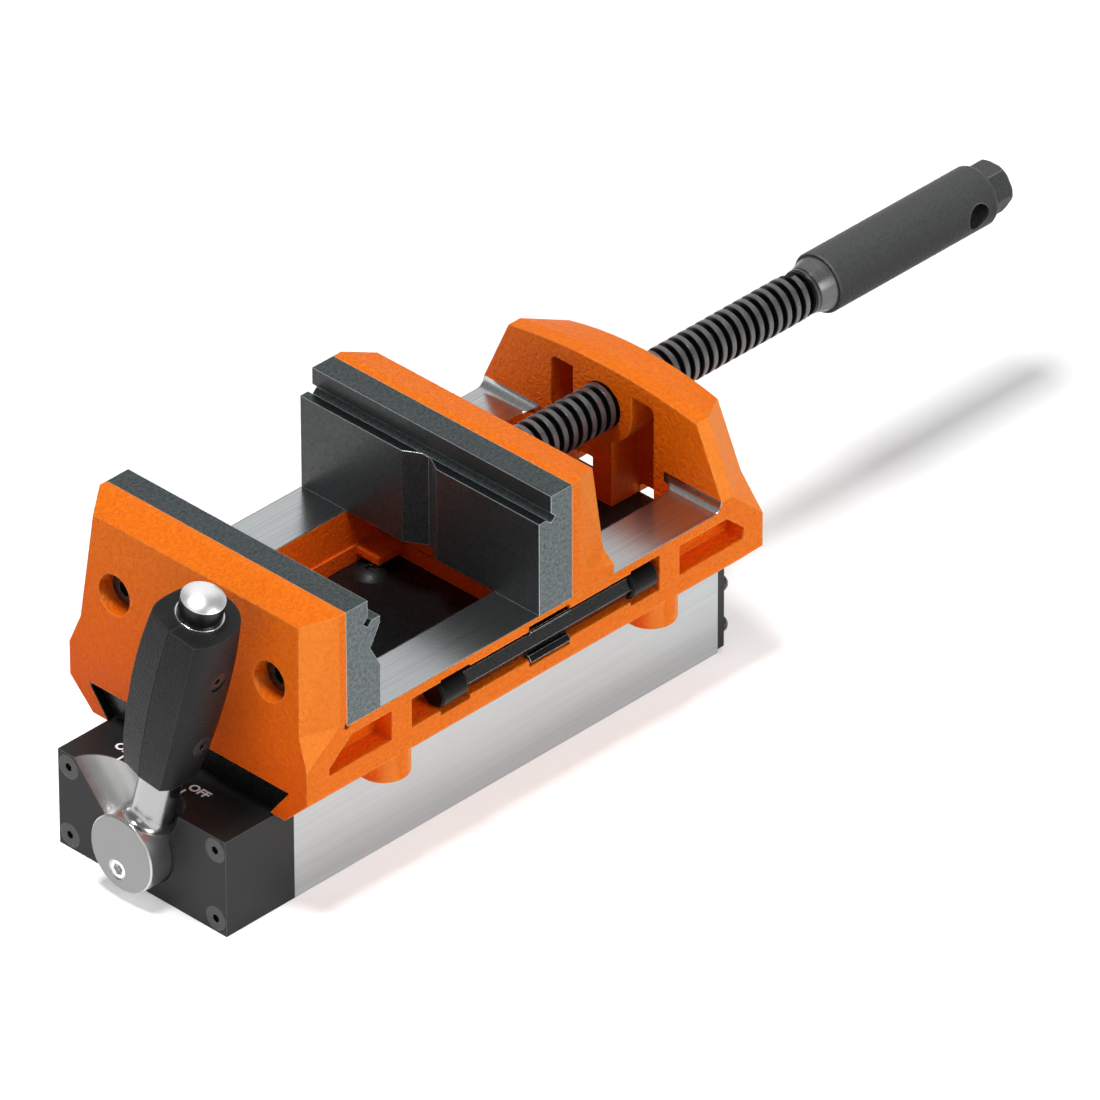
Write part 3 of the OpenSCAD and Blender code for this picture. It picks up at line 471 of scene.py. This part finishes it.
def grip_shell(side):
    """The closed shell of one half, with its foot and its top edge rounded."""
    length, levels = grip_top - grip_foot, []
    for step in range(per_knot_up * (len(grip_waist) - 1) + 1):
        share, width = curve(grip_waist, step / per_knot_up)
        levels.append((grip_foot + share * length, width))
    first, last = levels[0], levels[-1]
    levels[0:1] = [(first[0] + up, first[1] - inset / grip_a)
                   for up, inset in ((0, 0.0009), (0.0003, 0.0003), (0.0009, 0))]
    levels[-1:] = [(last[0] - down, last[1] - inset / grip_a)
                   for down, inset in ((0.0006, 0), (0.0002, 0.0001), (0, 0.0005))]
    count = len(grip_ring(1))
    points = [(x, side * y, z) for z, width in levels for x, y in grip_ring(width)]
    faces = [(i * count + k, i * count + (k + 1) % count, (i + 1) * count + (k + 1) % count,
              (i + 1) * count + k) for i in range(len(levels) - 1) for k in range(count)]
    faces += [tuple(range(count)), tuple(range(len(points) - count, len(points)))]
    return points, faces


button_well_r, screw_well_r, screw_well_floor, screws_up = 0.00895, 0.0041, 0.012, (0.021, 0.054)
button_well = turned([(button_well_r, tang_top), (button_well_r, grip_top + 0.006)], 64)
screw_well = turned([(screw_well_r, 0.0), (screw_well_r, 0.008)], 40)
for node, side in (("grip_left", 1), ("grip_right", -1)):
    shell = piece(node + "_moulding", [(*grip_shell(side), lever)], "lever", grip_plastic, 18)
    outward = Matrix.Rotation(-side * math.pi / 2, 4, "X")
    seats = [lever @ Matrix.Translation((0, side * screw_well_floor, grip_foot + up)) @ outward
             for up in screws_up]
    drill(shell, [(*button_well, lever)] + [(*screw_well, seat) for seat in seats], 18)
    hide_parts(node)


# Vise casting
# Grey iron, sand cast, shot blasted and sprayed orange. The paint follows the cast grain.
# The rails and the dovetail slot were machined after painting, so they are bare metal.
def painted(name, deep, pale):
    """Orange paint over a sand cast skin with a 1.5 mm grain. Light is painted into its colour:
    paler edges and facets turned to the tommy bar's side as painted highlight and sheen, a darker
    red low on the front as painted shade, and a brighter red in hollows as its own bounced light."""
    material, tree, shader, place = finish(name, pale, 0.0, 0.42)
    shader.inputs["Specular IOR Level"].default_value = 0.07
    cast = add(tree, "ShaderNodeTexNoise", {"Vector": place, "Scale": 650.0, "Detail": 3.0,
                                            "Roughness": 0.55, "Distortion": 0.6})
    grain = add(tree, "ShaderNodeMapRange", {0: cast.outputs["Fac"], 1: 0.32, 2: 0.68, 3: 0, 4: 1})
    tone = add(tree, "ShaderNodeMix", {0: grain.outputs[0], 6: linear(deep), 7: linear(pale)},
               data_type="RGBA")
    rounded, own, edge = edges(tree, 0.0011, 6, 0.99, 0.86, 0.6)
    where = add(tree, "ShaderNodeSeparateXYZ", {0: place})
    facing = add(tree, "ShaderNodeSeparateXYZ", {0: own})
    # Painted shade: faces turned to the front are mixed towards a darker red, most low down.
    forward = add(tree, "ShaderNodeMath", {0: facing.outputs["X"], 1: -1.0}, operation="MULTIPLY",
                  use_clamp=True)
    low = add(tree, "ShaderNodeMapRange", {0: where.outputs["Z"], 1: 0.115, 2: 0.05, 3: 0.1, 4: 0.7})
    painted_low_front_shade = add(tree, "ShaderNodeMath", {0: forward.outputs[0], 1: low.outputs[0]}, operation="MULTIPLY")
    tone = add(tree, "ShaderNodeMix", {0: painted_low_front_shade.outputs[0], 6: tone.outputs[2], 7: linear("#da4a04")},
               data_type="RGBA")
    # Painted sheen: facets turned between the front and the tommy bar's side are mixed paler.
    not_front = add(tree, "ShaderNodeMapRange", {0: facing.outputs["Y"], 1: -0.4, 2: -0.8, 3: 0, 4: 0.35})
    not_side = add(tree, "ShaderNodeMapRange", {0: facing.outputs["Y"], 1: -0.985, 2: -0.94, 3: 0, 4: 1})
    painted_facet_sheen = add(tree, "ShaderNodeMath", {0: not_front.outputs[0], 1: not_side.outputs[0]},
                   operation="MULTIPLY")
    # Painted bounce light: hollows are mixed towards a brighter red.
    open_sky = add(tree, "ShaderNodeAmbientOcclusion", {"Distance": 0.035}, samples=4)
    hollow = add(tree, "ShaderNodeMapRange", {0: open_sky.outputs["AO"], 1: 0.3, 2: 0.8, 3: 0.55, 4: 0})
    tone = add(tree, "ShaderNodeMix", {0: hollow.outputs[0], 6: tone.outputs[2], 7: linear("#fc6410")},
               data_type="RGBA")
    tone = add(tree, "ShaderNodeMix", {0: painted_facet_sheen.outputs[0], 6: tone.outputs[2], 7: linear("#f19a45")},
               data_type="RGBA")
    # Painted highlight: the rounded edges are mixed paler.
    tone = add(tree, "ShaderNodeMix", {0: edge, 6: tone.outputs[2], 7: linear("#f99a45")},
               data_type="RGBA")
    tree.links.new(tone.outputs[2], shader.inputs["Base Color"])
    relief = add(tree, "ShaderNodeBump", {"Height": grain.outputs[0], "Strength": 0.8,
                                          "Distance": 0.0006, "Normal": rounded})
    tree.links.new(relief.outputs[0], shader.inputs["Normal"])
    return material, tree, shader, place, tone, relief


deep_orange, pale_orange = "#db6408", "#e7750c"
dress(painted("orange_paint", deep_orange, pale_orange)[0], "moving_jaw")

body_paint, tree, shader, place, tone, relief = painted(
    "orange_paint_machined_rails", deep_orange, pale_orange)
bridge_length, rail_inner, rail_outer, fillet_top, tray_half = 0.0213, 0.0309, 0.05995, 0.0041, 0.0375
plate_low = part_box("fixed_jaw_plate")[0]
rail_z, rail_x0, bridge_x = plate_low.z, plate_low.x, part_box("vise_body")[1].x - bridge_length
where = add(tree, "ShaderNodeSeparateXYZ", {0: place})
off_axis = add(tree, "ShaderNodeMath", {0: where.outputs["Y"]}, operation="ABSOLUTE")
on_rail = within(tree, (where.outputs["X"], rail_x0, bridge_x + 0.0002),
                 (off_axis.outputs[0], rail_inner, rail_outer),
                 (where.outputs["Z"], rail_z - 0.0001, rail_z + fillet_top))
# In the tray painted walls face each other; a redder tint is painted there as the light they bounce.
in_tray = within(tree, (where.outputs["X"], rail_x0, bridge_x), (off_axis.outputs[0], 0.0, tray_half),
                 (where.outputs["Z"], 0.0, rail_z - 0.0005))
tray_bounce_share = add(tree, "ShaderNodeMath", {0: in_tray, 1: 0.7}, operation="MULTIPLY")
tone = add(tree, "ShaderNodeMix", {0: tray_bounce_share.outputs[0], 6: tone.outputs[2], 7: linear("#fb5a10")},
           data_type="RGBA")
slot_z, slot_half, slot_slope, slot_depth = block_high.z + 0.001, 0.041, 0.76, 0.0126
flank = add(tree, "ShaderNodeMath",
            {0: where.outputs["Z"], 1: slot_slope, 2: slot_half - slot_slope * slot_z + skin},
            operation="MULTIPLY_ADD")
in_slot = add(tree, "ShaderNodeMath", {0: off_axis.outputs[0], 1: flank.outputs[0]},
              operation="LESS_THAN")
low_down = add(tree, "ShaderNodeMath", {0: where.outputs["Z"], 1: slot_z + slot_depth},
               operation="LESS_THAN")
in_slot = add(tree, "ShaderNodeMath", {0: in_slot.outputs[0], 1: low_down.outputs[0]},
              operation="MULTIPLY")
machined = add(tree, "ShaderNodeMath", {0: on_rail, 1: in_slot.outputs[0]}, operation="MAXIMUM")
stretch = add(tree, "ShaderNodeMapping", {"Vector": place, "Scale": (6, 1100, 1100)})
streaks = add(tree, "ShaderNodeTexNoise", {"Vector": stretch.outputs[0], "Scale": 1.0, "Detail": 3.0})
bare_tone = add(tree, "ShaderNodeMix", {0: streaks.outputs["Fac"], 6: linear("#a9acad"),
                                        7: linear("#d3d6d7")}, data_type="RGBA")
slot_tone = add(tree, "ShaderNodeMix", {0: in_slot.outputs[0], 6: bare_tone.outputs[2],
                                        7: linear("#4a4c4d")}, data_type="RGBA")
skin_tone = add(tree, "ShaderNodeMix", {0: machined.outputs[0], 6: tone.outputs[2],
                                        7: slot_tone.outputs[2]}, data_type="RGBA")
tree.links.new(skin_tone.outputs[2], shader.inputs["Base Color"])
tree.links.new(machined.outputs[0], shader.inputs["Metallic"])
gloss = add(tree, "ShaderNodeMapRange", {0: machined.outputs[0], 3: 0.42, 4: 0.24})
tree.links.new(gloss.outputs[0], shader.inputs["Roughness"])
calm = add(tree, "ShaderNodeMapRange", {0: machined.outputs[0], 3: 0.7, 4: 0.0})
tree.links.new(calm.outputs[0], relief.inputs["Strength"])
dress(body_paint, "vise_body")


# Jaw plates
# Hardened steel, ground and then phosphated: a dark mottled grey with pores, and pale lines
# along the edges, partly rubbed bare and partly painted highlight. Painted shade makes the
# faces turned to the front darker and duller, and the tops a little darker.
phosphated, tree, shader, place = finish("phosphated_steel", "#5f6768", 1.0, 0.34)
clouds = add(tree, "ShaderNodeTexNoise", {"Vector": place, "Scale": 700.0, "Detail": 5.0,
                                          "Roughness": 0.75})
pores = add(tree, "ShaderNodeTexVoronoi", {"Vector": place, "Scale": 650.0}, feature="F1")
mottle = add(tree, "ShaderNodeValToRGB", {0: clouds.outputs["Fac"]})
mottle.color_ramp.elements[0].position = 0.36
mottle.color_ramp.elements[0].color = linear("#495152")
mottle.color_ramp.elements[1].position = 0.62
mottle.color_ramp.elements[1].color = linear("#6a7273")
pore = add(tree, "ShaderNodeMapRange", {0: pores.outputs["Distance"], 1: 0.1, 2: 0.3, 3: 0.5, 4: 1.0})
surface_tone = add(tree, "ShaderNodeMix", {0: 1.0, 6: mottle.outputs[0], 7: pore.outputs[0]},
           data_type="RGBA", blend_type="MULTIPLY")
# Pale edge lines: partly rubbed bare metal, partly painted highlight.
rounded, own, bared_and_lit_edges = edges(tree, 0.00045, 6, 0.985, 0.85)
facing = add(tree, "ShaderNodeSeparateXYZ", {0: own})
# Painted shade: faces turned to the front are darker and less metallic.
front_face_shade = add(tree, "ShaderNodeMapRange", {0: facing.outputs["X"], 1: -0.5, 2: -1.0, 3: 1.0, 4: 0.25})
surface_tone = add(tree, "ShaderNodeMix", {0: 1.0, 6: surface_tone.outputs[2], 7: front_face_shade.outputs[0]},
           data_type="RGBA", blend_type="MULTIPLY")
# Painted shade: faces turned up are a little darker.
top_face_shade = add(tree, "ShaderNodeMapRange", {0: facing.outputs["Z"], 1: 0.6, 2: 1.0, 3: 1.0, 4: 0.7})
surface_tone = add(tree, "ShaderNodeMix", {0: 1.0, 6: surface_tone.outputs[2], 7: top_face_shade.outputs[0]},
           data_type="RGBA", blend_type="MULTIPLY")
plate_tone = add(tree, "ShaderNodeMix", {0: bared_and_lit_edges, 6: surface_tone.outputs[2], 7: linear("#d5d9d9")},
                 data_type="RGBA")
tree.links.new(plate_tone.outputs[2], shader.inputs["Base Color"])
tree.links.new(front_face_shade.outputs[0], shader.inputs["Metallic"])
etched = add(tree, "ShaderNodeMapRange", {0: clouds.outputs["Fac"], 1: 0.36, 2: 0.62, 3: 0.4, 4: 0.28})
tree.links.new(etched.outputs[0], shader.inputs["Roughness"])
relief = add(tree, "ShaderNodeBump", {"Height": clouds.outputs["Fac"], "Strength": 0.1,
                                      "Distance": 0.0002, "Normal": rounded})
tree.links.new(relief.outputs[0], shader.inputs["Normal"])
dress(phosphated, "fixed_jaw_plate", "moving_jaw_plate")


# Spindle
# A trapezoidal screw turned from bar and blackened: thread, undercut, cone and the tenon
# inside the sleeve. The crests are coloured a pale lathe-lined grey, and the grooves near black.
spindle_low, spindle_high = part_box("spindle")
axis_z = (spindle_low.z + spindle_high.z) / 2
thread_r, root_r, pitch = 0.00915, 0.0068, 0.00483
turned_black, tree, shader, place, tone = coated(
    "turned_black_oxide", "#2c2d2d", 0.32, 0.7, 0.0002, "#8f9091", relief_depth=0.0)
where = add(tree, "ShaderNodeSeparateXYZ", {0: place})
up = add(tree, "ShaderNodeMath", {0: where.outputs["Z"], 1: axis_z}, operation="SUBTRACT")
across = add(tree, "ShaderNodeCombineXYZ", {0: 0.0, 1: where.outputs["Y"], 2: up.outputs[0]})
reach = add(tree, "ShaderNodeVectorMath", {0: across.outputs[0]}, operation="LENGTH")
crest = add(tree, "ShaderNodeMapRange", {0: reach.outputs["Value"], 1: thread_r - 0.0005,
                                         2: thread_r - 0.0001, 3: 0, 4: 1})
lathe_lines = add(tree, "ShaderNodeMapping", {"Vector": place, "Scale": (4000, 120, 120)})
scored = add(tree, "ShaderNodeTexNoise", {"Vector": lathe_lines.outputs[0], "Scale": 1.0, "Detail": 2.0})
bright = add(tree, "ShaderNodeMix", {0: scored.outputs["Fac"], 6: linear("#48494a"),
                                     7: linear("#7c7d7e")}, data_type="RGBA")
surface_tone = add(tree, "ShaderNodeMix", {0: crest.outputs[0], 6: linear("#0d0d0e"), 7: bright.outputs[2]},
           data_type="RGBA")
tree.links.new(surface_tone.outputs[2], shader.inputs["Base Color"])

sleeve_x0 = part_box("spindle_sleeve")[0].x
nose_in_boss, cone_length, runout = 0.0168, 0.0085, 0.0012
nose_x0, nose_end = spindle_low.x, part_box("moving_jaw")[1].x - nose_in_boss
cone_x0 = sleeve_x0 - cone_length
around, rise = 64, [(0.0, 0.9), (0.03, 1.0), (0.44, 1.0), (0.47, 0.9), (0.6, 0.06), (0.64, 0.0),
                    (0.84, 0.0), (0.88, 0.06)]
turns = int((cone_x0 - nose_end) / pitch) - 1
columns = turns * len(rise) + 1
points = []
for j in range(around + 1):
    for i in range(columns):
        turn, stage = divmod(i, len(rise))
        along, height = rise[stage]
        x = nose_end + runout + (turn + along + j / around) * pitch
        r = root_r + (thread_r - root_r) * (height if x < cone_x0 - runout else 0)
        angle = 2 * math.pi * j / around
        points.append((x, r * math.sin(angle), r * math.cos(angle)))
faces = [(j * columns + i, j * columns + i + 1, (j + 1) * columns + i + 1, (j + 1) * columns + i)
         for j in range(around) for i in range(columns - 1)]
on_axis = Matrix.Translation((0, 0, axis_z))
thread = piece("spindle_thread", [(points, faces, on_axis)], "spindle", turned_black, 20)
nose_r, neck_r, neck_x0, neck_x1 = 0.00695, 0.0049, nose_x0 + 0.0059, nose_x0 + 0.0106
groove_r, ring_r, cone_r, tenon_r, tenon_x0 = 0.0086, 0.0089, 0.0107, 0.007, sleeve_x0 + 0.0005
nose = [(0.0069, nose_x0), (nose_r, nose_x0 + 0.0003), (nose_r, neck_x0), (neck_r, neck_x0),
        (neck_r, neck_x1), (nose_r, neck_x1), (nose_r, nose_end), (root_r, nose_end + 0.001)]
rings = [(root_r, cone_x0 - 0.0016), (groove_r, cone_x0 - 0.0012), (groove_r, cone_x0 - 0.0004),
         (ring_r, cone_x0), (ring_r, cone_x0 + 0.001), (groove_r, cone_x0 + 0.0013)]
cone = [(ring_r, cone_x0 + 0.0016), (cone_r, sleeve_x0 - 0.0008), (cone_r, tenon_x0),
        (tenon_r, tenon_x0), (tenon_r, spindle_high.x)]
shaft = piece("spindle_shaft", [(*turned(nose + rings + cone, 96), on_axis @ along_x)],
              "spindle", turned_black, 20)
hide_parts("spindle")


# Handle sleeve
# Steel tube with a forged hexagon end, pressed on the spindle's tenon and powder coated
# in matte black, which leaves a fine orange peel. Painted light makes it greyer on top, darker below.
powder_black, tree, shader, place, tone = coated(
    "black_powder_coat", "#3b3c3c", 0.46, 0.0, 0.0009, "#8a8b8b", 900, 0.2, 1.0)
face = add(tree, "ShaderNodeNewGeometry")
facing = add(tree, "ShaderNodeSeparateXYZ", {0: face.outputs["Normal"]})
# Painted light and shade: the colour is lighter on faces turned up and darker on faces turned down.
from_sky = add(tree, "ShaderNodeMapRange", {0: facing.outputs["Z"], 1: -0.4, 2: 0.95, 3: 0.1, 4: 1.3})
painted_top_light = add(tree, "ShaderNodeMix", {0: 1.0, 6: tone.outputs[2], 7: from_sky.outputs[0]},
            data_type="RGBA", blend_type="MULTIPLY")
tree.links.new(painted_top_light.outputs[2], shader.inputs["Base Color"])
dress(powder_black, "spindle_sleeve")


# Switch marks
# ON and OFF with a tick each, printed white on the end block's top, beside the two ends
# of the lever's recess.
white_print, tree, shader, place = finish("white_print", "#f4f4f4", 0.0, 0.6)
ink = add(tree, "ShaderNodeTexNoise", {"Vector": place, "Scale": 3000.0})
patchy = add(tree, "ShaderNodeMix", {0: ink.outputs["Fac"], 6: linear("#e9e9e9"), 7: linear("#ffffff")},
             data_type="RGBA")
tree.links.new(patchy.outputs[2], shader.inputs["Base Color"])
letter_height, ink_rise, bolder = 0.0053, 0.00001, 0.00018
for name, word, x, y in (("mark_on", "ON", 0.0146, 0.0292), ("mark_off", "OFF", 0.0146, -0.0082),
                         ("tick_on", "I", 0.0098, 0.0227), ("tick_off", "I", 0.0098, -0.008)):
    letters = bpy.data.curves.new(name, "FONT")
    letters.body = word
    letters.size = letter_height
    letters.extrude = ink_rise
    letters.offset = bolder
    letters.materials.append(white_print)
    text = bpy.data.objects.new(name, letters)
    bpy.context.scene.collection.objects.link(text)
    text.location = (block_low.x + x, y, block_high.z + 2 * ink_rise)
    text.rotation_euler = (0, 0, -math.pi / 2)
    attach(text, "base")
